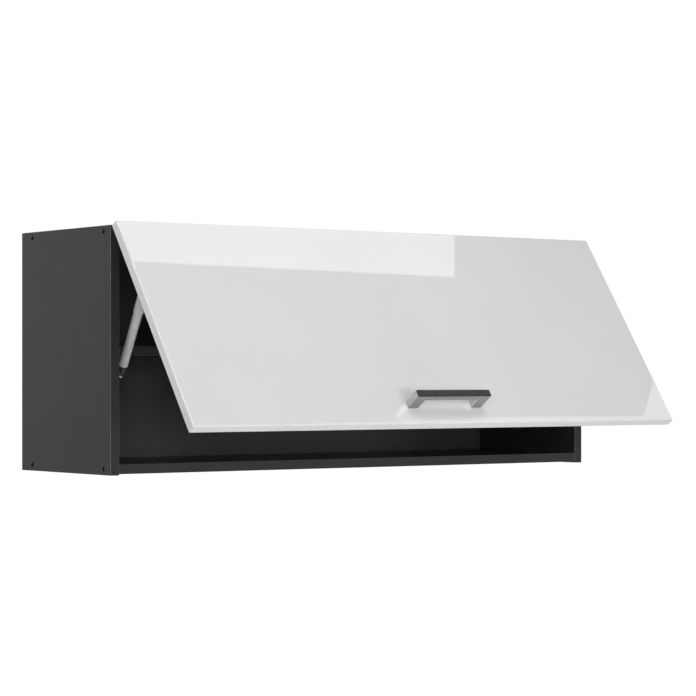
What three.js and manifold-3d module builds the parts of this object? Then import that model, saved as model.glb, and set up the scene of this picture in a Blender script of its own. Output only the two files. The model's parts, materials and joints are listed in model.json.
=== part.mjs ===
// Lift up wall cabinet: a carcass of boards, a top-hung flap on two link hinges and two gas struts.
// Millimetres, +Z up. X runs along the cabinet, the flap faces -Y and the wall is the plane y = 0.
// The origin is on the rear edge of the bottom panel, at its middle.

import * as THREE from 'three';
import { mergeVertices } from 'three/addons/utils/BufferGeometryUtils.js';
import Module from 'manifold-3d';

const wasm = await Module();
wasm.setup();

// ---------- driving dimensions ----------

// Carcass
const cabinetWidth = 1000;
const cabinetHeight = 400;
const cabinetDepth = 292;
const board = 16;
const panelInset = 2;          // top and bottom panels sit this far inside the ends of the sides
const shelfHeight = 192;       // underside of the shelf above the bottom of the sides
const shelfSetback = 82;       // shelf front edge behind the front of the carcass
const shelfPlay = 1;           // gap at each end of the shelf

// Back panel in its grooves
const backThickness = 3;
const backRecess = 15;         // space behind the back panel
const grooveDepth = 8;
const grooveClearance = 0.2;

// Carcass screws through the sides
const carcassScrewFront = 23;  // from the front edge
const carcassScrewRear = 35;   // from the rear edge
const carcassScrewRadius = 3.2;
const carcassScrewLength = 50;
const carcassHeadRadius = 5;
const carcassHeadThickness = 3;
const carcassSocketRadius = 2;
const carcassSocketDepth = 2;
const headSink = 0.3;          // screw heads lie this far below the outer face

// Flap
const openAngle = THREE.MathUtils.degToRad(35);
const flapLength = 396.5;
const flapThickness = 16;
const flapEndPlay = 1.5;       // flap is shorter than the carcass by this at each end
const flapTopDrop = 2;         // upper edge of the closed flap below the top of the sides
const frontGap = 2.5;          // closed flap to carcass
const flapEdgeRadius = 3;

// Handle
const handleLength = 152;
const handleHeight = 12.5;
const handleProjection = 35;
const handleBarDepth = 11.5;
const handleLegWidth = 20;
const handleHoleSpacing = 128;
const handleFromBottom = 35.5; // middle of the handle above the flap's lower edge
const handleCornerRadius = 1.2;
const inlayThickness = 1.5;
const handleScrewRadius = 2;
const handleScrewHeadRadius = 4.5;
const handleScrewHeadThickness = 2.2;
const handleSocketRadius = 1.5;
const handleSocketDepth = 1;
const handleScrewGrip = 12;    // length inside the handle's leg

// Link hinges
const hingeFromEnd = 110;      // middle of a hinge from the carcass end
const armPivotBack = 6;        // arm pivot behind the front of the carcass
const armPivotDrop = 4.5;      // arm pivot below the top panel
const cupPivotDrop = 14.5;     // cup pivot below the flap's upper edge
const cupPivotDepth = 4;       // cup pivot inside the flap's back face
const linkWidth = 4.4;
const linkRadius = 2.5;
const pivotRadius = 1.2;
const cupRadius = 17.2;
const cupWall = 1;
const cupDepth = 11.2;
const cupFromEdge = 22.5;
const cupFlangeThickness = 1.2;
const cupFlangeRim = 2.3;      // flange beyond the cup all round
const cupScrewSpacing = 48;
const cupScrewOffset = 6;      // cup screws below the middle of the cup
const cupScrewRadius = 1.7;
const cupScrewLength = 9;
const cupScrewHeadRadius = 3;
const cupScrewHeadThickness = 1;
const platePosition = 37;      // plate screws behind the front of the carcass
const plateScrewSpacing = 32;
const plateThickness = 2;
const plateLength = 18;
const railWidth = 11;
const railHeight = 6;
const railFront = 18;
const railBack = 70;
const armWall = 1.5;
const setScrewRadius = 2.6;    // holes in the arm over its set screws
const setScrewSpacing = 24;
const earClearance = 1;        // arm's rounded ear to the top panel
const earNeck = 4;             // straight top of the ear behind the pivot
const armFloorAhead = 4;       // floor of the channel ahead of the rail
const plateScrewRadius = 1.7;
const plateScrewLength = 13;
const plateScrewHeadRadius = 3.2;
const plateScrewHeadThickness = 1.6;
const plateSocketRadius = 1.3;
const plateSocketFloor = 0.6;  // metal left under the socket

// Gas struts
const strutInset = 45;         // strut plane from the outer face of the side
const strutFootBack = 46;      // lower ball behind the front of the carcass
const strutFootDrop = 241.7;   // lower ball below the top of the sides
const strutHeadDrop = 86.6;    // upper ball below the flap's upper edge
const strutHeadOffset = 10;    // upper ball behind the flap's back face
const ballRadius = 4;
const stemRadius = 2.6;
const footCollarRadius = 5.5;
const headCollarRadius = 3.4;
const collarHeight = 2;
const stemStart = 6;           // where the collar's cone has narrowed to the stem
const cylinderRadius = 7.5;
const cylinderStart = 19;      // from the lower ball
const cylinderEnd = 125;
const tubeRounding = 1.2;
const cylinderBoreStart = 9;
const cylinderStubRadius = 4.3;
const cylinderStubStart = 7.5;
const rodRadius = 3;
const rodReach = 125.5;        // free end of the rod from the upper ball
const sleeveStart = 117;       // lower edge of the guard sleeve from the lower ball
const sleeveWall = 0.8;
const sleeveCap = 1.4;
const socketRadius = 6.8;
const socketFloor = 1.2;       // wall of the upper socket behind the ball
const lowerSocketStart = 5.7;
const bracketThickness = 2;
const footPlateHeight = 40;
const footPlateWidth = 24;
const headPlateLength = 42;
const headPlateWidth = 13;
const headPlateCorner = 3;
const headEarRadius = 6;
const headEarFoot = 14;        // half the ear's length where it meets its plate
const headEarPlay = 1.2;       // ear to the rod's socket
const bracketScrewRadius = 3.4;
const bracketScrewHead = 1.4;

// Wall hangers
const hangerWidth = 17;
const hangerLength = 58;
const hangerHeight = 42;
const hangerDrop = 5;          // hanger below the top panel
const hangerChamfer = 8;
const hangerAdjusterRadius = 3;
const hangerAdjusterRise = 10;
const hangerAdjusterDepth = 6;
const hangerDowelRadius = 4.7;
const hangerDowelLength = 10;
const hangerDowelSpacing = 32;
const hookWidth = 10;
const hookThickness = 4;
const hookLip = 14;
const hookStart = 12;          // front end of the hook behind the front of the hanger
const hookWallGap = 3;

// Shelf pins and bumpers
const pinRadius = 2.35;
const pinDepth = 8;
const pinFromEdge = 32;
const pinReach = 10;
const pinPadThickness = 2;
const pinPadWidth = 10;
const bumperRadius = 4;
const bumperHeight = 1.9;
const bumperFromBottom = 12;

// General
const gap = 0.3;               // between neighbours that touch in use
const boreClearance = 0.3;     // round a screw, pin or dowel in its bore
const past = 1;                // a cutting solid runs this far past the face it cuts
const seat = 0.5;              // a joined solid reaches this far into its neighbour
const plateCorner = 5;
const screwToPlateEnd = 6;
const roundSegments = 22;
const smallSegments = 12;
const pinSegments = 14;
const cupSegments = 28;
const curveSteps = 5;
const bevelSteps = 4;
const ballSteps = 6;
const hexagon = 6;

// ---------- derived places ----------

const halfWidth = cabinetWidth / 2;
const innerX = halfWidth - board;
const frontY = -cabinetDepth;
const bottomPanelZ = panelInset;
const bottomPanelTop = panelInset + board;
const topPanelTop = cabinetHeight - panelInset;
const topPanelUnder = topPanelTop - board;
const backFrontY = -(backRecess + backThickness);
const screwRows = [
  [frontY + carcassScrewFront, bottomPanelZ + board / 2],
  [-carcassScrewRear, bottomPanelZ + board / 2],
  [frontY + carcassScrewFront, topPanelTop - board / 2],
  [-carcassScrewRear, topPanelTop - board / 2],
];
const shelfFrontY = frontY + shelfSetback;
const pinRows = [shelfFrontY + pinFromEdge, backFrontY - pinFromEdge];
const pinZ = shelfHeight - pinPadThickness - pinRadius;
const hingeX = halfWidth - hingeFromEnd;
const strutX = halfWidth - strutInset;
const hingeAxis = { y: frontY - frontGap, z: cabinetHeight - flapTopDrop };
const handleDrop = flapLength - handleFromBottom;
const hangerTop = topPanelUnder - hangerDrop;
const hangerRearY = backFrontY - gap;
const hangerMiddleZ = hangerTop - hangerHeight / 2;

// A point fixed on the closed flap, given behind its back face and below its upper edge, at the open angle.
function onOpenFlap(behind, below) {
  const across = new THREE.Vector3(0, behind, -below).applyAxisAngle(new THREE.Vector3(1, 0, 0), -openAngle);
  return { y: hingeAxis.y + across.y, z: hingeAxis.z + across.z };
}

const armPivot = { y: frontY + armPivotBack, z: topPanelUnder - armPivotDrop };
const cupPivot = onOpenFlap(-cupPivotDepth, cupPivotDrop);
const strutFoot = { y: frontY + strutFootBack, z: cabinetHeight - strutFootDrop };
const strutHead = onOpenFlap(strutHeadOffset, strutHeadDrop);
const strutLength = Math.hypot(strutHead.y - strutFoot.y, strutHead.z - strutFoot.z);
const strutLean = Math.atan2(strutFoot.y - strutHead.y, strutHead.z - strutFoot.z);

// The links and the two fixed pivots make a parallelogram about the flap's axis.
const armLinkLength = Math.hypot(cupPivotDepth, cupPivotDrop);
const armLinkAngle = openAngle + Math.atan2(cupPivotDepth, cupPivotDrop);
const cupLinkSpan = { y: armPivot.y - hingeAxis.y, z: hingeAxis.z - armPivot.z };
const cupLinkLength = Math.hypot(cupLinkSpan.y, cupLinkSpan.z);
const cupLinkAngle = -Math.atan2(cupLinkSpan.y, cupLinkSpan.z);

// ---------- solids ----------

function toSolid(geometry) {
  geometry.deleteAttribute('normal');
  geometry.deleteAttribute('uv');
  const merged = mergeVertices(geometry, 1e-4);
  const vertProperties = new Float32Array(merged.attributes.position.array);
  const triVerts = new Uint32Array(merged.index.array);
  return new wasm.Manifold(new wasm.Mesh({ numProp: 3, vertProperties, triVerts }));
}

function toGeometry(solid) {
  const mesh = solid.getMesh();
  const geometry = new THREE.BufferGeometry();
  geometry.setAttribute('position', new THREE.BufferAttribute(mesh.vertProperties, 3));
  geometry.setIndex(new THREE.BufferAttribute(mesh.triVerts, 1));
  geometry.computeVertexNormals();
  return geometry;
}

const join = (first, ...others) => others.reduce((whole, piece) => whole.add(piece), first);
const cut = (first, ...others) => others.reduce((whole, piece) => whole.subtract(piece), first);

function block(xLow, xHigh, yLow, yHigh, zLow, zHigh) {
  const geometry = new THREE.BoxGeometry(xHigh - xLow, yHigh - yLow, zHigh - zLow);
  return toSolid(geometry.translate((xLow + xHigh) / 2, (yLow + yHigh) / 2, (zLow + zHigh) / 2));
}

// Round bar from one end to the other along an axis: 'x', 'y' or 'z'.
function bar(axis, radius, low, high, at, segments = smallSegments) {
  const geometry = new THREE.CylinderGeometry(radius, radius, high - low, segments);
  geometry.translate(0, (low + high) / 2, 0);
  if (axis === 'x') geometry.rotateZ(-Math.PI / 2).translate(0, at[0], at[1]);
  if (axis === 'y') geometry.translate(at[0], 0, at[1]);
  if (axis === 'z') geometry.rotateX(Math.PI / 2).translate(at[0], at[1], 0);
  return toSolid(geometry);
}

// Revolved profile of [radius, height] points about the Z axis.
function turned(profile, segments = roundSegments) {
  const points = profile.map(([radius, height]) => new THREE.Vector2(radius, height));
  return toSolid(new THREE.LatheGeometry(points, segments).rotateX(Math.PI / 2));
}

function outline(points) {
  return new THREE.Shape(points.map(([across, up]) => new THREE.Vector2(across, up)));
}

// Outline in Y and Z, extruded along X.
function alongX(shape, xLow, xHigh) {
  const geometry = new THREE.ExtrudeGeometry(shape,
    { depth: xHigh - xLow, bevelEnabled: false, curveSegments: curveSteps });
  const turn = new THREE.Matrix4().makeBasis(
    new THREE.Vector3(0, 1, 0), new THREE.Vector3(0, 0, 1), new THREE.Vector3(1, 0, 0));
  return toSolid(geometry.applyMatrix4(turn).translate(xLow, 0, 0));
}

// Outline in X and the distance below the flap's upper edge, extruded along +Y.
function acrossFlap(shape, yLow, yHigh) {
  const geometry = new THREE.ExtrudeGeometry(shape,
    { depth: yHigh - yLow, bevelEnabled: false, curveSegments: curveSteps });
  return toSolid(geometry.rotateX(-Math.PI / 2).translate(0, yLow, 0));
}

function roundedRectangle(left, right, low, high, radius) {
  const shape = new THREE.Shape();
  shape.moveTo(left + radius, low);
  shape.lineTo(right - radius, low);
  shape.absarc(right - radius, low + radius, radius, -Math.PI / 2, 0);
  shape.lineTo(right, high - radius);
  shape.absarc(right - radius, high - radius, radius, 0, Math.PI / 2);
  shape.lineTo(left + radius, high);
  shape.absarc(left + radius, high - radius, radius, Math.PI / 2, Math.PI);
  shape.lineTo(left, low + radius);
  shape.absarc(left + radius, low + radius, radius, Math.PI, Math.PI * 1.5);
  return shape;
}

// ---------- materials ----------

const finishes = {
  carcass: { color: 0x434543, roughness: 0.55, metalness: 0 },
  flap: { color: 0xd7d7d5, roughness: 0.25, metalness: 0 },
  back: { color: 0x3a3b3a, roughness: 0.7, metalness: 0 },
  steel: { color: 0xb9bab8, roughness: 0.35, metalness: 0.9 },
  strut: { color: 0xa9aaa8, roughness: 0.4, metalness: 0.3 },
  rod: { color: 0xd8d9d8, roughness: 0.15, metalness: 1 },
  black: { color: 0x2a2a2a, roughness: 0.5, metalness: 0 },
  handle: { color: 0xb6b7b6, roughness: 0.3, metalness: 0.9 },
  inlay: { color: 0x33343a, roughness: 0.35, metalness: 0.2 },
  clear: { color: 0xe6e6e2, roughness: 0.3, metalness: 0 },
};

function piece(name, solid, finish) {
  const mesh = new THREE.Mesh(toGeometry(solid), new THREE.MeshStandardMaterial(finishes[finish]));
  mesh.name = name;
  return mesh;
}

const sides = [['left', -1], ['right', 1]];

// A solid modelled for the right-hand end, or its mirror image for the left-hand end.
function forSide(solid, side) {
  return side > 0 ? solid : solid.mirror([1, 0, 0]);
}

// ---------- carcass ----------

const grooveY = [backFrontY - grooveClearance, -backRecess + grooveClearance];

function sidePanel() {
  const panel = block(innerX, halfWidth, frontY, 0, 0, cabinetHeight);
  const groove = block(innerX - past, innerX + grooveDepth, ...grooveY, -past, cabinetHeight + past);
  const screwHoles = screwRows.map((at) => join(
    bar('x', carcassScrewRadius + boreClearance, innerX - past, halfWidth + past, at),
    bar('x', carcassHeadRadius + gap, halfWidth - headSink - carcassHeadThickness - gap,
      halfWidth + past, at)));
  const pinHoles = pinRows.map((y) =>
    bar('x', pinRadius + boreClearance, innerX - past, innerX + pinDepth + gap, [y, pinZ]));
  const dowelHoles = hangerDowels().map((at) =>
    bar('x', hangerDowelRadius + boreClearance, innerX - past, innerX + hangerDowelLength + gap, at));
  return cut(panel, groove, ...screwHoles, ...pinHoles, ...dowelHoles);
}

function hangerDowels() {
  const middleY = hangerRearY - hangerLength / 2;
  return [-1, 1].map((end) => [middleY + end * hangerDowelSpacing / 2, hangerMiddleZ]);
}

// Top or bottom panel, with its screw bores and the groove on its inner face.
function levelPanel(zLow, grooveSide) {
  const panel = block(-innerX, innerX, frontY, 0, zLow, zLow + board);
  const grooveZ = grooveSide > 0
    ? [zLow + board - grooveDepth, zLow + board + past]
    : [zLow - past, zLow + grooveDepth];
  const groove = block(-halfWidth, halfWidth, ...grooveY, ...grooveZ);
  const reach = carcassScrewLength - board + past;
  const bores = screwRows.slice(0, 2).flatMap(([y]) => [-1, 1].map((end) => {
    const low = end > 0 ? innerX - reach : -innerX - past;
    const high = end > 0 ? innerX + past : -innerX + reach;
    return bar('x', carcassScrewRadius + boreClearance, low, high, [y, zLow + board / 2]);
  }));
  return cut(panel, groove, ...bores);
}

function plateScrewPlaces() {
  return [-1, 1].flatMap((side) => [-1, 1].map((end) =>
    [side * hingeX + end * plateScrewSpacing / 2, frontY + platePosition]));
}

function topPanel() {
  const holes = plateScrewPlaces().map((at) =>
    bar('z', plateScrewRadius + boreClearance, topPanelUnder - past,
      topPanelUnder - plateThickness + plateScrewLength + gap, at));
  return cut(levelPanel(topPanelUnder, -1), ...holes);
}

function backPanel() {
  const reach = grooveDepth - gap;
  const panel = block(-innerX - reach, innerX + reach, backFrontY, -backRecess,
    bottomPanelTop - reach, topPanelUnder + reach);
  const notches = [-1, 1].map((side) => {
    const solid = block(innerX - hangerWidth, halfWidth, backFrontY - past, 0,
      hangerMiddleZ - hookLip, hangerMiddleZ + hookLip);
    return forSide(solid, side);
  });
  return cut(panel, ...notches);
}

function shelf() {
  const reach = innerX - shelfPlay;
  return block(-reach, reach, shelfFrontY, backFrontY - gap, shelfHeight, shelfHeight + board);
}

function carcassScrew([y, z]) {
  const headFace = halfWidth - headSink;
  const head = bar('x', carcassHeadRadius, headFace - carcassHeadThickness, headFace, [y, z], roundSegments);
  const shank = bar('x', carcassScrewRadius, headFace - carcassScrewLength, headFace - seat, [y, z]);
  const socket = bar('x', carcassSocketRadius, headFace - carcassSocketDepth, headFace + past,
    [y, z], hexagon);
  return cut(join(head, shank), socket);
}

function shelfPin(y) {
  const plug = bar('x', pinRadius, innerX - seat, innerX + pinDepth, [y, pinZ]);
  const side = outline([[y - pinPadWidth / 2, pinZ - pinRadius], [y + pinPadWidth / 2, pinZ - pinRadius],
    [y + pinPadWidth / 2, shelfHeight], [y - pinPadWidth / 2, shelfHeight]]);
  const collar = alongX(side, innerX - pinPadThickness, innerX);
  const pad = block(innerX - pinReach, innerX, y - pinPadWidth / 2, y + pinPadWidth / 2,
    shelfHeight - pinPadThickness, shelfHeight);
  return join(plug, collar, pad);
}

function hookArm(clearance) {
  const half = hookWidth / 2 + clearance;
  const middleX = innerX - hangerWidth / 2;
  return block(middleX - half, middleX + half,
    hangerRearY - hangerLength + hookStart - clearance, -hookWallGap,
    hangerMiddleZ - hookThickness / 2 - clearance, hangerMiddleZ + hookThickness / 2 + clearance);
}

function hangerBody() {
  const yLow = hangerRearY - hangerLength;
  const shape = outline([[yLow + hangerChamfer, hangerTop], [yLow, hangerTop - hangerChamfer],
    [yLow, hangerTop - hangerHeight],
    [hangerRearY, hangerTop - hangerHeight], [hangerRearY, hangerTop]]);
  const housing = alongX(shape, innerX - hangerWidth, innerX);
  const dowels = hangerDowels().map((at) =>
    bar('x', hangerDowelRadius, innerX - seat, innerX + hangerDowelLength, at));
  const middleX = innerX - hangerWidth / 2;
  const adjusters = [-1, 1].map((end) => bar('y', hangerAdjusterRadius, yLow - past,
    yLow + hangerAdjusterDepth, [middleX, hangerMiddleZ + end * hangerAdjusterRise]));
  return cut(join(housing, ...dowels), hookArm(gap), ...adjusters);
}

function hangerHook() {
  const middleX = innerX - hangerWidth / 2;
  const lip = block(middleX - hookWidth / 2, middleX + hookWidth / 2,
    -hookWallGap - hookThickness, -hookWallGap,
    hangerMiddleZ + hookThickness / 2 - hookLip, hangerMiddleZ + hookThickness / 2);
  return join(hookArm(0), lip);
}

// Ball stud standing on a plate: foot, tapered neck, stem and ball, along +Z from the plate's face.
function ballStud(length, collarRadius) {
  const profile = [[0, 0], [collarRadius, 0], [collarRadius, collarHeight], [stemRadius, stemStart]];
  const startAngle = Math.PI - Math.asin(stemRadius / ballRadius);
  for (let step = 0; step < ballSteps; step += 1) {
    const angle = startAngle * (1 - step / ballSteps);
    profile.push([ballRadius * Math.sin(angle), length + ballRadius * Math.cos(angle)]);
  }
  profile.push([0, length + ballRadius]);
  return turned(profile, smallSegments);
}

// Steel plate on the side with the lower ball stud of a strut.
function strutFootBracket() {
  const { y, z } = strutFoot;
  const shape = roundedRectangle(y - footPlateWidth / 2, y + footPlateWidth / 2,
    z - footPlateHeight / 2, z + footPlateHeight / 2, plateCorner);
  const plate = alongX(shape, innerX - bracketThickness, innerX);
  const faceX = innerX - bracketThickness;
  const stud = ballStud(faceX - strutX + seat, footCollarRadius).rotate([0, -90, 0])
    .translate([faceX + seat, y, z]);
  const screws = [-1, 1].map((end) => bar('x', bracketScrewRadius, faceX - bracketScrewHead, faceX + seat,
    [y, z + end * (footPlateHeight / 2 - screwToPlateEnd)]));
  return join(plate, stud, ...screws);
}

// ---------- link hinges ----------

// Mounting plate under the top panel: two wings for the screws and the rail that carries the arm.
function hingePlate() {
  const wing = plateScrewSpacing / 2 + screwToPlateEnd;
  const yMiddle = frontY + platePosition;
  const shape = roundedRectangle(-wing, wing, -plateLength / 2, plateLength / 2, plateCorner);
  const wings = toSolid(new THREE.ExtrudeGeometry(shape, { depth: plateThickness, bevelEnabled: false,
    curveSegments: curveSteps })).translate([0, yMiddle, topPanelUnder - plateThickness]);
  const rail = block(-railWidth / 2, railWidth / 2, frontY + railFront, frontY + railBack,
    topPanelUnder - railHeight, topPanelUnder);
  const holes = [-1, 1].map((end) => bar('z', plateScrewRadius + boreClearance,
    topPanelUnder - plateThickness - past, topPanelUnder + past, [end * plateScrewSpacing / 2, yMiddle]));
  return cut(join(wings, rail), ...holes);
}

function hingePlateScrew(end) {
  const at = [end * plateScrewSpacing / 2, frontY + platePosition];
  const headTop = topPanelUnder - plateThickness;
  const head = bar('z', plateScrewHeadRadius, headTop - plateScrewHeadThickness, headTop, at);
  const shank = bar('z', plateScrewRadius, headTop - seat, headTop + plateScrewLength, at);
  const socket = bar('z', plateSocketRadius, headTop - plateScrewHeadThickness - past,
    headTop - plateSocketFloor, at, hexagon);
  return cut(join(head, shank), socket);
}

// Channel that hooks over the rail and reaches forward to the arm pivot.
function hingeArm() {
  const inner = railWidth / 2 + gap;
  const outer = inner + armWall;
  const wallTop = topPanelUnder - plateThickness - gap;
  const floorTop = topPanelUnder - railHeight - gap;
  const ear = armPivotDrop - earClearance;
  const shape = new THREE.Shape();
  shape.moveTo(armPivot.y, armPivot.z - ear);
  shape.lineTo(frontY + railBack, floorTop - armWall);
  shape.lineTo(frontY + railBack, wallTop);
  shape.lineTo(armPivot.y + earNeck, wallTop);
  shape.absarc(armPivot.y, armPivot.z, ear, Math.asin((wallTop - armPivot.z) / ear), Math.PI * 1.5);
  const walls = alongX(shape, -outer, outer);
  const floorFront = frontY + railFront - armFloorAhead;
  const channel = block(-inner, inner, floorFront, 0, floorTop, topPanelUnder);
  const mouth = block(-inner, inner, frontY - board, floorFront, armPivot.z - board, topPanelUnder);
  const pin = bar('x', pivotRadius, -inner - seat, inner + seat, [armPivot.y, armPivot.z], pinSegments);
  const setScrews = [-1, 1].map((end) => bar('z', setScrewRadius, floorTop - armWall - past,
    floorTop + past, [0, frontY + platePosition + end * setScrewSpacing / 2]));
  return join(cut(walls, channel, mouth, ...setScrews), pin);
}

// Flat link with its near pivot at the origin and its far pivot straight below.
function link(length, nearHole, farHole, xLow) {
  const shape = new THREE.Shape();
  shape.absarc(0, 0, linkRadius, 0, Math.PI);
  shape.absarc(0, -length, linkRadius, Math.PI, Math.PI * 2);
  const blank = alongX(shape, xLow, xLow + linkWidth);
  const holes = [];
  const bore = (at) => bar('x', pivotRadius + gap, xLow - past, xLow + linkWidth + past, at, pinSegments);
  if (nearHole) holes.push(bore([0, 0]));
  if (farHole) holes.push(bore([0, -length]));
  return cut(blank, ...holes);
}

// Link on the arm; it carries the knee pin.
function armLink() {
  const pin = bar('x', pivotRadius, -gap - seat, gap + linkWidth + gap, [0, -armLinkLength], pinSegments);
  return join(link(armLinkLength, true, false, -gap - linkWidth), pin);
}

function cupLink() {
  return link(cupLinkLength, true, true, gap);
}

// Hinge cup in the flap, with its screw flange and the pivot pin across its mouth.
function hingeCup() {
  const flange = [gap, gap + cupFlangeThickness];
  const bore = cupRadius - cupWall;
  const shell = bar('y', cupRadius, -cupDepth, flange[1], [0, -cupFromEdge], cupSegments);
  const wing = cupScrewSpacing / 2 + screwToPlateEnd;
  const screwDrop = cupFromEdge + cupScrewOffset;
  const tab = acrossFlap(roundedRectangle(-wing, wing, screwDrop - screwToPlateEnd,
    screwDrop + screwToPlateEnd, plateCorner), ...flange);
  const rim = bar('y', cupRadius + cupFlangeRim, ...flange, [0, -cupFromEdge], cupSegments);
  const hollow = bar('y', bore, -cupDepth + cupWall, flange[1] + past, [0, -cupFromEdge], cupSegments);
  const holes = [-1, 1].map((end) => bar('y', cupScrewRadius + boreClearance, flange[0] - past,
    flange[1] + past, [end * cupScrewSpacing / 2, -screwDrop]));
  const pinHalf = Math.sqrt(bore ** 2 - (cupFromEdge - cupPivotDrop) ** 2) + cupWall / 2;
  const pin = bar('x', pivotRadius, -pinHalf, pinHalf, [-cupPivotDepth, -cupPivotDrop], pinSegments);
  return join(cut(join(shell, tab, rim), hollow, ...holes), pin);
}

function cupScrew(end) {
  const at = [end * cupScrewSpacing / 2, -(cupFromEdge + cupScrewOffset)];
  const headBase = gap + cupFlangeThickness;
  const head = bar('y', cupScrewHeadRadius, headBase + gap, headBase + gap + cupScrewHeadThickness, at);
  const shank = bar('y', cupScrewRadius, headBase - cupScrewLength, headBase + gap + seat, at);
  return join(head, shank);
}

// ---------- flap ----------

function flapBlank() {
  const half = halfWidth - flapEndPlay - flapEdgeRadius;
  const shape = outline([[-half, flapEdgeRadius], [half, flapEdgeRadius],
    [half, flapLength - flapEdgeRadius], [-half, flapLength - flapEdgeRadius]]);
  const geometry = new THREE.ExtrudeGeometry(shape, { depth: flapThickness, bevelThickness: flapEdgeRadius,
    bevelSize: flapEdgeRadius, bevelSegments: bevelSteps });
  const rounded = toSolid(geometry.rotateX(-Math.PI / 2).translate(0, flapEdgeRadius - flapThickness, 0));
  return cut(rounded, block(-halfWidth, halfWidth, 0, flapThickness, -flapLength - past, past));
}

function flapPanel() {
  const cups = [-1, 1].map((side) =>
    bar('y', cupRadius + gap, -cupDepth - gap, past, [side * hingeX, -cupFromEdge], cupSegments));
  const cupScrews = [-1, 1].flatMap((side) => [-1, 1].map((end) =>
    bar('y', cupScrewRadius + boreClearance, cupFlangeThickness - cupScrewLength - gap, past,
      [side * hingeX + end * cupScrewSpacing / 2, -(cupFromEdge + cupScrewOffset)])));
  const handleBores = [-1, 1].map((end) =>
    bar('y', handleScrewRadius + boreClearance, -flapThickness - past, past,
      [end * handleHoleSpacing / 2, -handleDrop]));
  return cut(flapBlank(), ...cups, ...cupScrews, ...handleBores);
}

// The handle's bar stands in front of the flap on its two legs.
function handleBar() {
  const faceY = -flapThickness - gap;
  const frontFace = -flapThickness - handleProjection + inlayThickness + gap;
  const half = handleLength / 2;
  const blank = acrossFlap(roundedRectangle(-half, half, handleDrop - handleHeight / 2,
    handleDrop + handleHeight / 2, handleCornerRadius), frontFace, faceY);
  const fingers = block(-half + handleLegWidth, half - handleLegWidth,
    -flapThickness - handleProjection + handleBarDepth, 0,
    -handleDrop - handleHeight, -handleDrop + handleHeight);
  const bores = [-1, 1].map((end) => bar('y', handleScrewRadius + boreClearance,
    faceY - handleScrewGrip - gap, faceY + past, [end * handleHoleSpacing / 2, -handleDrop]));
  return cut(blank, fingers, ...bores);
}

function handleInlay() {
  const half = handleLength / 2;
  const frontFace = -flapThickness - handleProjection;
  return acrossFlap(roundedRectangle(-half, half, handleDrop - handleHeight / 2,
    handleDrop + handleHeight / 2, handleCornerRadius), frontFace, frontFace + inlayThickness);
}

function handleScrew(end) {
  const at = [end * handleHoleSpacing / 2, -handleDrop];
  const head = bar('y', handleScrewHeadRadius, gap, gap + handleScrewHeadThickness, at, roundSegments);
  const shank = bar('y', handleScrewRadius, -flapThickness - gap - handleScrewGrip, gap + seat, at);
  const headTop = gap + handleScrewHeadThickness;
  const socket = bar('y', handleSocketRadius, headTop - handleSocketDepth, headTop + past, at, hexagon);
  return cut(join(head, shank), socket);
}

function bumper() {
  const x = halfWidth - board / 2;
  const profile = [[0, 0], [bumperRadius, 0], [bumperRadius, bumperHeight / 2],
    [bumperRadius - bumperHeight / 2, bumperHeight], [0, bumperHeight]];
  return turned(profile).rotate([-90, 0, 0]).translate([x, gap, bumperFromBottom - flapLength]);
}

// Steel angle on the flap with a strut's upper ball stud, on the side nearer the cabinet's end.
function strutHeadBracket() {
  const earX = strutX + socketRadius + headEarPlay;
  const plate = acrossFlap(roundedRectangle(earX, earX + headPlateWidth, strutHeadDrop - headPlateLength / 2,
    strutHeadDrop + headPlateLength / 2, headPlateCorner), gap, gap + bracketThickness);
  const ear = new THREE.Shape();
  ear.moveTo(gap, -strutHeadDrop - headEarFoot);
  ear.absarc(strutHeadOffset, -strutHeadDrop, headEarRadius, -Math.PI / 3, Math.PI / 3);
  ear.lineTo(gap, -strutHeadDrop + headEarFoot);
  const upright = alongX(ear, earX, earX + bracketThickness);
  const stud = ballStud(earX - strutX + seat, headCollarRadius).rotate([0, -90, 0])
    .translate([earX + seat, strutHeadOffset, -strutHeadDrop]);
  const screwX = earX + (headPlateWidth + bracketThickness) / 2;
  const screws = [-1, 1].map((end) => bar('y', bracketScrewRadius,
    gap + seat, gap + bracketThickness + bracketScrewHead,
    [screwX, -strutHeadDrop + end * (headPlateLength / 2 - screwToPlateEnd)]));
  return join(plate, upright, stud, ...screws);
}

// ---------- gas struts, along +Z from the lower ball ----------

function strutCylinder() {
  const bore = rodRadius + gap;
  return turned([[0, cylinderStubStart], [cylinderStubRadius, cylinderStubStart],
    [cylinderStubRadius, cylinderStart], [cylinderRadius - tubeRounding, cylinderStart],
    [cylinderRadius, cylinderStart + tubeRounding], [cylinderRadius, cylinderEnd - tubeRounding],
    [cylinderRadius - tubeRounding, cylinderEnd], [bore, cylinderEnd], [bore, cylinderBoreStart],
    [0, cylinderBoreStart]]);
}

function lowerSocket() {
  const inner = cylinderStubRadius + gap;
  const top = cylinderStart - gap;
  return turned([[inner, lowerSocketStart], [socketRadius - tubeRounding, lowerSocketStart],
    [socketRadius, lowerSocketStart + tubeRounding], [socketRadius, top - tubeRounding],
    [socketRadius - tubeRounding, top], [inner, top], [inner, lowerSocketStart]]);
}

function guardSleeve() {
  const outer = cylinderRadius + gap + sleeveWall;
  const inner = outer - sleeveWall;
  const top = strutLength - socketRadius - gap;
  return turned([[inner, sleeveStart], [outer, sleeveStart], [outer, top - tubeRounding],
    [outer - tubeRounding, top], [rodRadius + gap, top], [rodRadius + gap, top - sleeveCap],
    [inner, top - sleeveCap], [inner, sleeveStart]]);
}

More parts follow.
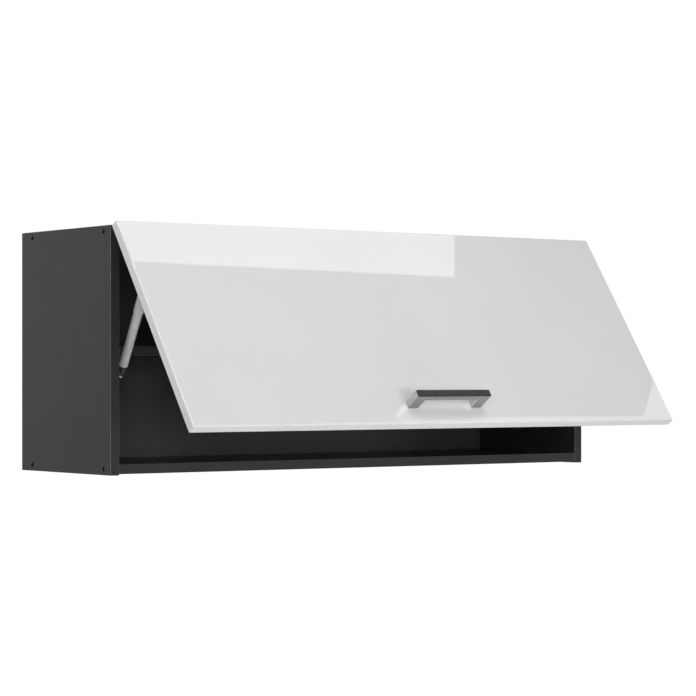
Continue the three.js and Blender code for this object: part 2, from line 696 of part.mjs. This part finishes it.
// Rod with its socket, open towards the upper ball stud.
function strutRod() {
  const rod = bar('z', rodRadius, strutLength - rodReach, strutLength - ballRadius - socketFloor,
    [0, 0], roundSegments);
  const eye = bar('x', socketRadius, -ballRadius - gap - socketFloor, socketRadius - socketFloor,
    [0, strutLength], roundSegments);
  const hollow = bar('x', ballRadius + gap, -ballRadius - gap, socketRadius, [0, strutLength], roundSegments);
  return cut(join(rod, eye), hollow);
}

// ---------- assembly ----------

const cabinet = new THREE.Group();
cabinet.position.z = -(panelInset + board / 2);

function group(parent, x, place, turn) {
  const holder = new THREE.Group();
  holder.position.set(x, place.y, place.z);
  holder.rotation.x = turn;
  parent.add(holder);
  return holder;
}

const flap = group(cabinet, 0, hingeAxis, -openAngle);
flap.add(piece('flap_panel', flapPanel(), 'flap'));
flap.add(piece('handle_bar', handleBar(), 'handle'));
flap.add(piece('handle_inlay', handleInlay(), 'inlay'));

cabinet.add(piece('bottom_panel', levelPanel(bottomPanelZ, 1), 'carcass'));
cabinet.add(piece('top_panel', topPanel(), 'carcass'));
cabinet.add(piece('back_panel', backPanel(), 'back'));
cabinet.add(piece('shelf', shelf(), 'carcass'));

for (const [word, side] of sides) {
  const add = (parent, name, solid, finish) =>
    parent.add(piece(`${name}_${word}`, forSide(solid, side), finish));
  add(cabinet, 'side_panel', sidePanel(), 'carcass');
  screwRows.forEach((at, index) => add(cabinet, `carcass_screw_${index + 1}`, carcassScrew(at), 'steel'));
  pinRows.forEach((y, index) => add(cabinet, `shelf_pin_${index + 1}`, shelfPin(y), 'steel'));
  add(cabinet, 'hanger_body', hangerBody(), 'black');
  add(cabinet, 'hanger_hook', hangerHook(), 'steel');
  add(cabinet, 'strut_foot_bracket', strutFootBracket(), 'steel');
  add(flap, 'strut_head_bracket', strutHeadBracket(), 'steel');
  add(flap, 'bumper', bumper(), 'clear');
  add(flap, 'handle_screw', handleScrew(1), 'steel');

  const hinge = group(cabinet, side * hingeX, { y: 0, z: 0 }, 0);
  add(hinge, 'hinge_plate', hingePlate(), 'steel');
  add(hinge, 'hinge_arm', hingeArm(), 'steel');
  const cupPlace = group(flap, side * hingeX, { y: 0, z: 0 }, 0);
  add(cupPlace, 'hinge_cup', hingeCup(), 'steel');
  [-1, 1].forEach((end, index) => {
    add(hinge, `hinge_plate_screw_${index + 1}`, hingePlateScrew(end), 'steel');
    add(cupPlace, `cup_screw_${index + 1}`, cupScrew(end), 'steel');
  });
  add(group(cabinet, side * hingeX, armPivot, -armLinkAngle), 'arm_link', armLink(), 'steel');
  add(group(cabinet, side * hingeX, cupPivot, -cupLinkAngle), 'cup_link', cupLink(), 'steel');

  const strut = group(cabinet, side * strutX, strutFoot, strutLean);
  add(strut, 'strut_cylinder', strutCylinder(), 'strut');
  add(strut, 'lower_socket', lowerSocket(), 'black');
  add(strut, 'guard_sleeve', guardSleeve(), 'strut');
  add(strut, 'strut_rod', strutRod(), 'rod');
}

export default cabinet;
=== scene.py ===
"""Looks, light and camera for the lift up wall cabinet. Metres, +Z up; the flap faces -Y."""
import json
import math

import bmesh
import bpy
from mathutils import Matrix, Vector


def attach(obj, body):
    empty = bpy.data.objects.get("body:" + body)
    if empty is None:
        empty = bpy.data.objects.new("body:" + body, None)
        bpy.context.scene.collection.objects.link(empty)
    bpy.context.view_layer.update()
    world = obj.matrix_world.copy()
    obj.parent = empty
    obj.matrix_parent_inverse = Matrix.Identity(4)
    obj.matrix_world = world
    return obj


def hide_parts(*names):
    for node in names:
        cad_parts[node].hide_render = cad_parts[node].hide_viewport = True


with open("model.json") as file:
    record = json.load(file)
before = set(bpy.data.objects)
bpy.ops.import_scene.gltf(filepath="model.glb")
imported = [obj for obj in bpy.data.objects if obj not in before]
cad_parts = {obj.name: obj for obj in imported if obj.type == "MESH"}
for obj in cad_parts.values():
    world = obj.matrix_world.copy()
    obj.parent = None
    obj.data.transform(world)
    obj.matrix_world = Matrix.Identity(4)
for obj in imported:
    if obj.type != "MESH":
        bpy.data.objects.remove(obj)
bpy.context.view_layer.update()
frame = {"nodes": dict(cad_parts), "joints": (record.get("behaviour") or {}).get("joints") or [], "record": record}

nodes = frame["nodes"]
bodies = frame["record"]["behaviour"]["bodies"]
body_of = {node: body for body, members in bodies.items() for node in members}
slot_of = {part["node"]: part["material_slot"] for part in frame["record"]["subparts"]}

MM = 0.001
MICRON = 0.000001
WHITE = (1, 1, 1, 1)


# ---------- colours ----------

def srgb(red, green, blue):
    """An 8-bit screen colour as the linear colour that a shader takes."""
    def linear(value):
        value /= 255
        return value / 12.92 if value <= 0.04045 else ((value + 0.055) / 1.055) ** 2.4
    return (linear(red), linear(green), linear(blue), 1)


# ---------- materials ----------

# Most of a noise's values lie between these two.
NOISE_LOW = 0.3
NOISE_HIGH = 0.7
NOISE_ROUGHNESS = 0.55


class Material:
    """A node material with a Principled shader, and short ways to add texture to it."""

    def __init__(self, name, color, roughness, metallic=0.0):
        self.name = name
        self.material = bpy.data.materials.new(name)
        self.material.use_nodes = True
        self.tree = self.material.node_tree
        self.shader = self.tree.nodes["Principled BSDF"]
        self.constant("Base Color", color)
        self.constant("Roughness", roughness)
        self.constant("Metallic", metallic)
        self.coordinates = self.tree.nodes.new("ShaderNodeTexCoord")

    def constant(self, socket, value):
        self.shader.inputs[socket].default_value = value
        return self

    def noise(self, scale, stretch=(1, 1, 1), detail=4.0):
        """Noise over the object: finer with a larger scale, and drawn out where stretch is small."""
        mapping = self.tree.nodes.new("ShaderNodeMapping")
        mapping.inputs["Scale"].default_value = stretch
        texture = self.tree.nodes.new("ShaderNodeTexNoise")
        texture.inputs["Scale"].default_value = scale
        texture.inputs["Detail"].default_value = detail
        texture.inputs["Roughness"].default_value = NOISE_ROUGHNESS
        self.tree.links.new(self.coordinates.outputs["Object"], mapping.inputs["Vector"])
        self.tree.links.new(mapping.outputs["Vector"], texture.inputs["Vector"])
        return texture.outputs["Fac"]

    def color_from(self, factor, dark, light, low=0.35, high=0.65):
        """Dark where the factor is below low, light where it is above high."""
        node = self.tree.nodes.new("ShaderNodeValToRGB")
        for stop, position, color in zip(node.color_ramp.elements, (low, high), (dark, light)):
            stop.position = position
            stop.color = color
        self.tree.links.new(factor, node.inputs["Fac"])
        self.tree.links.new(node.outputs["Color"], self.shader.inputs["Base Color"])
        return self

    def roughness_from(self, factor, smoothest, roughest):
        node = self.tree.nodes.new("ShaderNodeMapRange")
        node.inputs["From Min"].default_value = NOISE_LOW
        node.inputs["From Max"].default_value = NOISE_HIGH
        node.inputs["To Min"].default_value = smoothest
        node.inputs["To Max"].default_value = roughest
        self.tree.links.new(factor, node.inputs["Value"])
        self.tree.links.new(node.outputs["Result"], self.shader.inputs["Roughness"])
        return self

    def bump(self, factor, strength, distance):
        node = self.tree.nodes.new("ShaderNodeBump")
        node.inputs["Strength"].default_value = strength
        node.inputs["Distance"].default_value = distance
        self.tree.links.new(factor, node.inputs["Height"])
        self.tree.links.new(node.outputs["Normal"], self.shader.inputs["Normal"])
        return self


def melamine(name, dark, light, roughness):
    """Resin-faced board: an even colour with a faint cloud and a fine pearl grain."""
    made = Material(name, light, roughness)
    made.constant("Specular IOR Level", 0.2)
    cloud = made.noise(scale=14, detail=6)
    grain = made.noise(scale=1400, detail=2)
    made.color_from(cloud, dark, light, NOISE_LOW, NOISE_HIGH)
    made.roughness_from(grain, roughness - 0.06, roughness + 0.08)
    return made.bump(grain, strength=0.12, distance=20 * MICRON)


def lacquer(name, dark, light):
    """High gloss lacquer: a clear level coat over paint with a faint cloud and a fine grain."""
    made = Material(name, light, roughness=0.3)
    made.constant("Specular IOR Level", 0.05)
    made.constant("Coat Weight", 1.0).constant("Coat IOR", 1.7).constant("Coat Roughness", 0.012)
    cloud = made.noise(scale=3, detail=2)
    grain = made.noise(scale=130, detail=2)
    made.color_from(cloud, dark, light, NOISE_LOW, NOISE_HIGH)
    return made.bump(grain, strength=0.2, distance=4 * MICRON)


def brushed(name, dark, light, roughness, stretch):
    """Brushed metal, its lines drawn out along one axis."""
    made = Material(name, light, roughness, metallic=1.0)
    lines = made.noise(scale=900, stretch=stretch, detail=3)
    made.color_from(lines, dark, light, low=0.25, high=0.75)
    made.roughness_from(lines, roughness - 0.07, roughness + 0.1)
    return made.bump(lines, strength=0.15, distance=50 * MICRON)


def zinc(name):
    """Zinc-plated steel with soft grey clouds and a fine grain."""
    made = Material(name, srgb(196, 197, 193), roughness=0.34, metallic=1.0)
    cloud = made.noise(scale=260, detail=5)
    grain = made.noise(scale=1500, detail=2)
    made.color_from(cloud, srgb(158, 160, 158), srgb(206, 207, 202), NOISE_LOW, NOISE_HIGH)
    made.roughness_from(cloud, 0.26, 0.44)
    return made.bump(grain, strength=0.1, distance=50 * MICRON)


def moulded(name, dark, light, roughness):
    """Moulded plastic with a fine eroded grain."""
    made = Material(name, light, roughness)
    cloud = made.noise(scale=90)
    grain = made.noise(scale=2200, detail=2)
    made.color_from(cloud, dark, light)
    made.roughness_from(grain, roughness - 0.07, roughness + 0.08)
    return made.bump(grain, strength=0.25, distance=80 * MICRON)


def blackened(name):
    """The dull black finish of the screw heads in the sides."""
    made = moulded(name, srgb(20, 21, 21), srgb(28, 29, 29), roughness=0.6)
    return made.constant("Specular IOR Level", 0.15)


def coated(name, dark, light):
    """Silver-grey stoved paint on the strut tubes."""
    made = Material(name, light, roughness=0.36, metallic=0.05)
    cloud = made.noise(scale=120)
    flake = made.noise(scale=2600, detail=1)
    made.color_from(cloud, dark, light)
    made.roughness_from(flake, 0.3, 0.42)
    return made.bump(flake, strength=0.08, distance=40 * MICRON)


def chrome(name):
    """Polished chrome on the strut rods, with faint marks of the polishing."""
    made = Material(name, srgb(225, 226, 227), roughness=0.1, metallic=1.0)
    marks = made.noise(scale=500, stretch=(0.4, 1, 1), detail=3)
    made.color_from(marks, srgb(205, 207, 209), srgb(232, 233, 234))
    return made.roughness_from(marks, 0.06, 0.15)


def clear_rubber(name):
    """Milky clear rubber of the bumpers."""
    made = Material(name, srgb(228, 228, 222), roughness=0.25)
    made.constant("Transmission Weight", 0.35).constant("IOR", 1.45)
    cloud = made.noise(scale=200)
    grain = made.noise(scale=700)
    made.color_from(cloud, srgb(214, 214, 208), srgb(234, 234, 229))
    return made.bump(grain, strength=0.08, distance=50 * MICRON)


FINISHES = (
    melamine("carcass_board", srgb(45, 47, 46), srgb(49, 51, 50), roughness=0.3),
    # The back board is a lighter grey than the carcass board: painted light, standing in for more light inside the
    # carcass.
    melamine("back_board", srgb(62, 65, 64), srgb(66, 69, 68), roughness=0.35),
    # A light grey for the side panels' bevels: a painted highlight along their arrises.
    melamine("painted_arris_highlight", srgb(128, 131, 130), srgb(140, 143, 142), roughness=0.3),
    lacquer("flap_lacquer", srgb(226, 226, 226), srgb(230, 230, 230)),
    melamine("flap_back", srgb(222, 222, 220), srgb(230, 230, 228), roughness=0.4),
    brushed("handle_metal", srgb(148, 150, 151), srgb(174, 175, 176), roughness=0.34,
            stretch=(0.02, 1, 1)),
    moulded("handle_inlay", srgb(44, 45, 48), srgb(56, 57, 60), roughness=0.36),
    moulded("inlay_edge", srgb(16, 16, 18), srgb(24, 24, 26), roughness=0.2),
    zinc("zinc_steel"),
    blackened("blackened_screw"),
    moulded("black_plastic", srgb(34, 34, 35), srgb(46, 46, 47), roughness=0.45),
    clear_rubber("clear_rubber"),
    chrome("rod_chrome"),
    coated("strut_coating", srgb(192, 193, 192), srgb(204, 205, 204)),
)
materials = {finish.name: finish.material for finish in FINISHES}


# ---------- pieces ----------

BOARDS = ("side_panel_left", "side_panel_right", "bottom_panel", "top_panel", "shelf", "back_panel")
BOARD_EDGE = 0.8 * MM
BACK_EDGE = 0.2 * MM

# The eased edges of the other pieces, by the first word of the node's name. The flap, the links,
# the cup screws and the bumpers keep the edges that they have.
EDGE_WIDTHS = {"strut": 0.3 * MM, "guard": 0.2 * MM, "lower": 0.3 * MM, "hinge": 0.2 * MM,
               "hanger": 0.6 * MM, "handle": 0.7 * MM, "carcass": 0.3 * MM, "shelf": 0.3 * MM}
INLAY_EDGE = 1.3 * MM

# Corners that are closer than this are welded into one.
BOARD_WELD = 10 * MICRON
PIECE_WELD = 5 * MICRON

# An edge that turns by more degrees than these is sharp.
BOARD_SHARP = 40
PIECE_SHARP = 35
FLAP_SHARP = 30

# Faces that turn by fewer degrees than this are joined into one.
FLAT = 0.5

# The least cosine between a face's normal and the flap's back for the face to belong to the back.
NEARLY_PARALLEL = 0.99


def ease_edges(piece, width, sharp_degrees, finish=None):
    """Small bevels on the sharp edges, with a finish of their own where one is named."""
    bevel = piece.modifiers.new("eased_edges", "BEVEL")
    bevel.width = width
    bevel.segments = 2
    bevel.limit_method = "ANGLE"
    bevel.angle_limit = math.radians(sharp_degrees)
    if finish:
        piece.data.materials.append(materials[finish])
        bevel.material = 1


def dress_board(name):
    """A CAD board keeps its mesh; two modifiers weld its corners and ease its arrises."""
    board = nodes[name]
    board.data.materials.clear()
    board.data.materials.append(materials[slot_of[name]])
    weld = board.modifiers.new("weld", "WELD")
    weld.merge_threshold = BOARD_WELD
    width = BACK_EDGE if name == "back_panel" else BOARD_EDGE
    # The side panels' bevels get the light grey of the painted arris highlight.
    arris = "painted_arris_highlight" if name.startswith("side_panel") else None
    ease_edges(board, width, BOARD_SHARP, arris)


def smooth_mesh(name, sharp_degrees):
    """The mesh of a CAD node, welded, its flat faces joined, and smooth between its sharp edges."""
    mesh = bpy.data.meshes.new(name + "_shown")
    work = bmesh.new()
    work.from_mesh(nodes[name].data)
    bmesh.ops.remove_doubles(work, verts=work.verts, dist=PIECE_WELD)
    bmesh.ops.dissolve_limit(work, angle_limit=math.radians(FLAT), verts=work.verts, edges=work.edges)
    for face in work.faces:
        face.smooth = True
    work.to_mesh(mesh)
    work.free()
    mesh.set_sharp_from_angle(angle=math.radians(sharp_degrees))
    return mesh


def smooth_copy(name, edge_width, sharp_degrees=PIECE_SHARP, finish=None, edge_finish=None):
    """A smooth-shaded piece in the place of a CAD node, in its slot's finish unless one is named."""
    piece = bpy.data.objects.new(name + "_shown", smooth_mesh(name, sharp_degrees))
    bpy.context.scene.collection.objects.link(piece)
    piece.data.materials.append(materials[finish or slot_of[name]])
    if edge_width:
        ease_edges(piece, edge_width, sharp_degrees, edge_finish)
    normals = piece.modifiers.new("even_normals", "WEIGHTED_NORMAL")
    normals.keep_sharp = True
    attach(piece, body_of[name])
    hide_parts(name)
    return piece


def dress_flap():
    """The flap in lacquer, with the plain white back that faces the carcass.

    At rest its hinge is at zero, and it is raised from closed by the hinge's lower limit.
    """
    flap = smooth_copy("flap_panel", 0, FLAP_SHARP)
    flap.data.materials.append(materials["flap_back"])
    hinge = next(joint for joint in frame["joints"] if joint["name"] == "flap_hinge")
    raised = math.radians(-min(hinge["range_deg"]))
    back_normal = Vector((0, math.cos(raised), -math.sin(raised)))
    for face in flap.data.polygons:
        if face.normal.dot(back_normal) > NEARLY_PARALLEL:
            face.material_index = 1


for name in nodes:
    edge_width = EDGE_WIDTHS.get(name.split("_")[0], 0)
    if name in BOARDS:
        dress_board(name)
    elif name == "handle_inlay":
        smooth_copy(name, INLAY_EDGE, edge_finish="inlay_edge")
    elif name.startswith("carcass_screw"):
        smooth_copy(name, edge_width, finish="blackened_screw")
    elif name != "flap_panel":
        smooth_copy(name, edge_width)
dress_flap()


# ---------- shaders of the stage ----------

FLOOR_GREY = (0.85, 0.85, 0.85, 1)


def empty_tree(holder):
    """The node tree of a material or world, with nothing in it."""
    holder.use_nodes = True
    holder.node_tree.nodes.clear()
    return holder.node_tree


def glow(tree, kind, strength=1.0):
    """A white shader that gives light: an emission, or a background for the world."""
    node = tree.nodes.new(kind)
    node.inputs["Color"].default_value = WHITE
    node.inputs["Strength"].default_value = strength
    return node


def output_mix(tree, kind, factor, first, second):
    """Sends out the first shader where the factor is 0 and the second where it is 1."""
    mix = tree.nodes.new("ShaderNodeMixShader")
    output = tree.nodes.new(kind)
    tree.links.new(factor, mix.inputs["Fac"])
    tree.links.new(first, mix.inputs[1])
    tree.links.new(second, mix.inputs[2])
    tree.links.new(mix.outputs["Shader"], output.inputs["Surface"])


def camera_white(name, strength, share):
    """White glow, by the given share to the camera and half of it to reflections, over pale grey."""
    material = bpy.data.materials.new(name)
    tree = empty_tree(material)
    grey = tree.nodes.new("ShaderNodeBsdfDiffuse")
    grey.inputs["Color"].default_value = FLOOR_GREY
    white = glow(tree, "ShaderNodeEmission", strength)
    path = tree.nodes.new("ShaderNodeLightPath")
    seen = tree.nodes.new("ShaderNodeMath")
    seen.operation = "MULTIPLY"
    seen.inputs[1].default_value = share
    mirrored = tree.nodes.new("ShaderNodeMath")
    mirrored.operation = "MULTIPLY_ADD"
    mirrored.inputs[1].default_value = share / 2
    tree.links.new(path.outputs["Is Camera Ray"], seen.inputs[0])
    tree.links.new(path.outputs["Is Glossy Ray"], mirrored.inputs[0])
    tree.links.new(seen.outputs["Value"], mirrored.inputs[2])
    output_mix(tree, "ShaderNodeOutputMaterial", mirrored.outputs["Value"],
               grey.outputs["BSDF"], white.outputs["Emission"])
    return material


def card_glow(name, strength):
    """A glow that only reflections see; all else looks through it."""
    material = bpy.data.materials.new(name)
    tree = empty_tree(material)
    clear = tree.nodes.new("ShaderNodeBsdfTransparent")
    white = glow(tree, "ShaderNodeEmission", strength)
    path = tree.nodes.new("ShaderNodeLightPath")
    output_mix(tree, "ShaderNodeOutputMaterial", path.outputs["Is Glossy Ray"],
               clear.outputs["BSDF"], white.outputs["Emission"])
    return material


# ---------- floor, cards, sky and lamps ----------

def rectangle(x_low, x_high, y_low, y_high):
    return [(x_low, y_low), (x_high, y_low), (x_high, y_high), (x_low, y_high)]


def level_sheet(name, outline, height, material):
    """A flat sheet of the stage at one height."""
    mesh = bpy.data.meshes.new(name)
    mesh.from_pydata([(x, y, height) for x, y in outline], [], [tuple(range(len(outline)))])
    mesh.materials.append(material)
    made = bpy.data.objects.new(name, mesh)
    bpy.context.scene.collection.objects.link(made)


def build_world(horizon, overhead, fall_start, fall_end):
    """Light that falls off from the horizon to overhead, and plain white to the camera.

    The fall starts and ends at heights in the sky from 0 on the horizon to 1 overhead.
    """
    world = bpy.data.worlds.new("studio")
    bpy.context.scene.world = world
    tree = empty_tree(world)
    direction = tree.nodes.new("ShaderNodeTexCoord")
    split = tree.nodes.new("ShaderNodeSeparateXYZ")
    fall = tree.nodes.new("ShaderNodeMapRange")
    fall.inputs["From Min"].default_value = fall_start
    fall.inputs["From Max"].default_value = fall_end
    fall.inputs["To Min"].default_value = horizon
    fall.inputs["To Max"].default_value = overhead
    sky = glow(tree, "ShaderNodeBackground")
    tree.links.new(direction.outputs["Generated"], split.inputs["Vector"])
    tree.links.new(split.outputs["Z"], fall.inputs["Value"])
    tree.links.new(fall.outputs["Result"], sky.inputs["Strength"])
    white = glow(tree, "ShaderNodeBackground")
    path = tree.nodes.new("ShaderNodeLightPath")
    output_mix(tree, "ShaderNodeOutputWorld", path.outputs["Is Camera Ray"],
               sky.outputs["Background"], white.outputs["Background"])


def area_light(name, place, target, size, power):
    """A soft lamp; the cards and the sky give the reflections."""
    light = bpy.data.lights.new(name, "AREA")
    light.shape = "RECTANGLE"
    light.size, light.size_y = size
    light.energy = power
    lamp = bpy.data.objects.new(name, light)
    lamp.location = place
    lamp.rotation_euler = (Vector(target) - Vector(place)).to_track_quat("-Z", "Y").to_euler()
    lamp.visible_glossy = False
    bpy.context.scene.collection.objects.link(lamp)


FLOOR_HEIGHT = -0.9
FLOOR_REACH = 60.0
floor_outline = rectangle(-FLOOR_REACH, FLOOR_REACH, -FLOOR_REACH, FLOOR_REACH)
level_sheet("floor", floor_outline, FLOOR_HEIGHT, camera_white("floor", strength=1.08, share=0.93))

# Three level cards above the object show in the gloss of the flap: one on its upper left part,
# one on its lower right corner, and a strong one on its left arrises.
CARD_HEIGHT = 2.2
OVERHEAD_CARD = [(0, -0.914), (1.721, -0.937), (0.8, 2.5), (0, 2.5)]
FRONT_CARD = [(1.64, -1.36), (2.57, -1.36), (2.57, -1.2), (6.0, -1.2), (6.0, -4.0), (1.64, -4.0)]
LEFT_CARD = rectangle(-2.7, -1.5, -2.4, 0.4)
level_sheet("overhead_card", OVERHEAD_CARD, CARD_HEIGHT, card_glow("overhead_card", strength=1.8))
level_sheet("front_card", FRONT_CARD, CARD_HEIGHT, card_glow("front_card", strength=1.4))
level_sheet("left_card", LEFT_CARD, CARD_HEIGHT, card_glow("left_card", strength=10.0))

build_world(horizon=0.95, overhead=0.12, fall_start=0.25, fall_end=0.6)

# The points that the lamps are aimed at.
MIDDLE = (0, -0.25, 0.19)
INSIDE_LOW = (0, 0, 0.06)
FLAP_FOOT = (0, -0.5, 0.1)
FLAP_BACK = (0, -0.45, 0.15)
area_light("key", place=(-0.2, -1.3, 1.9), target=MIDDLE, size=(1.2, 1.2), power=12.8)
area_light("front", place=(-2.3, -3.4, 0.6), target=MIDDLE, size=(0.4, 0.4), power=26)
area_light("low", place=(0.1, -1.25, -0.8), target=FLAP_FOOT, size=(1.4, 0.3), power=1.4)
area_light("level", place=(0.1, -2.6, 0.0), target=INSIDE_LOW, size=(1.2, 0.3), power=9.5)
area_light("side", place=(-2.8, -0.5, 0.3), target=MIDDLE, size=(1.0, 1.0), power=2)
area_light("bounce", place=(0, 0.35, -0.85), target=FLAP_BACK, size=(1.8, 0.6), power=14)


# ---------- camera ----------

# A level camera, its picture shifted so that the horizon falls on its own row of pixels. The
# sensor's width and the lens are in millimetres.
IMAGE_SIZE = 696
FOCAL_PIXELS = 2437.18
HORIZON_ROW = 374.534
SENSOR_WIDTH = 36.0
CAMERA_PLACE = (-2.489346, -3.647457, 0.151325)
LEVEL = math.radians(90)
CAMERA_TURN = math.radians(-36.227)
VIEW_DEPTH = 300

camera_data = bpy.data.cameras.new("camera")
camera_data.sensor_width = SENSOR_WIDTH
camera_data.lens = FOCAL_PIXELS * SENSOR_WIDTH / IMAGE_SIZE
camera_data.shift_y = (HORIZON_ROW - IMAGE_SIZE / 2) / IMAGE_SIZE
camera_data.clip_end = VIEW_DEPTH
camera = bpy.data.objects.new("camera", camera_data)
camera.location = CAMERA_PLACE
camera.rotation_euler = (LEVEL, 0, CAMERA_TURN)
bpy.context.scene.collection.objects.link(camera)
bpy.context.scene.camera = camera
bpy.context.scene.view_settings.view_transform = "Standard"
